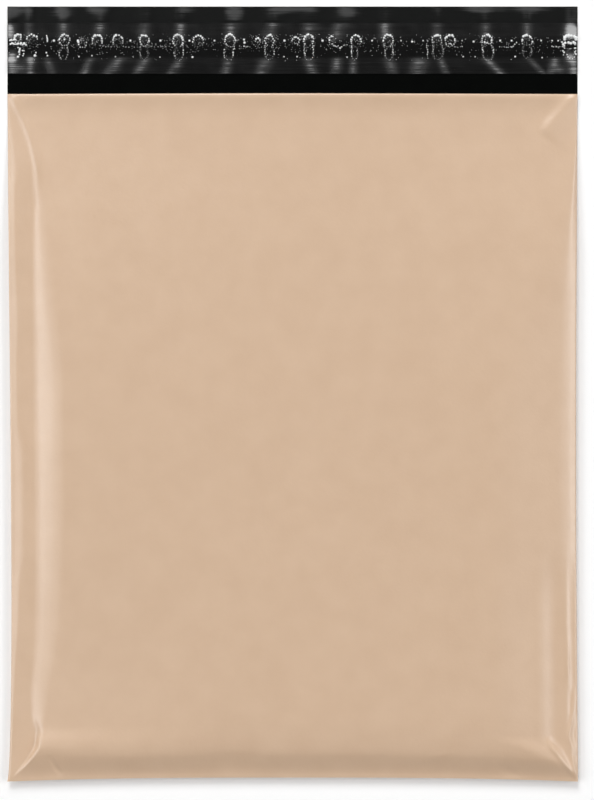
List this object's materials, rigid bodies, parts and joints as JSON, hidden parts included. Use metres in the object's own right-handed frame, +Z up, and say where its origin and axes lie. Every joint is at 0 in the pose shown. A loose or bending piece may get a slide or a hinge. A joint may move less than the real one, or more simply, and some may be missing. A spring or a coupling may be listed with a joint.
{
  "type": "poly mailer bag",
  "caption": "Flat shipping bag of welded film, tan outside and black inside, plumped and lying on its back with a self-seal flap open at the top.",
  "frame": {"origin": "on the surface the bag lies on, under the middle of the whole bag, flap included", "axes": "+X across the bag, +Y from the bottom fold to the flap, +Z up, out of the front panel"},
  "size_m": [0.254, 0.345, 0.0085],
  "materials": {
    "tan_film": "satin coextruded film, tan outside and black inside",
    "adhesive": "grainy hot-melt adhesive",
    "clear_film": "clear glossy release film"
  },
  "bodies": {
    "root": {"bag_film": "tan_film", "adhesive_strip": "adhesive", "release_liner": "clear_film"}
  },
  "joints": []
}
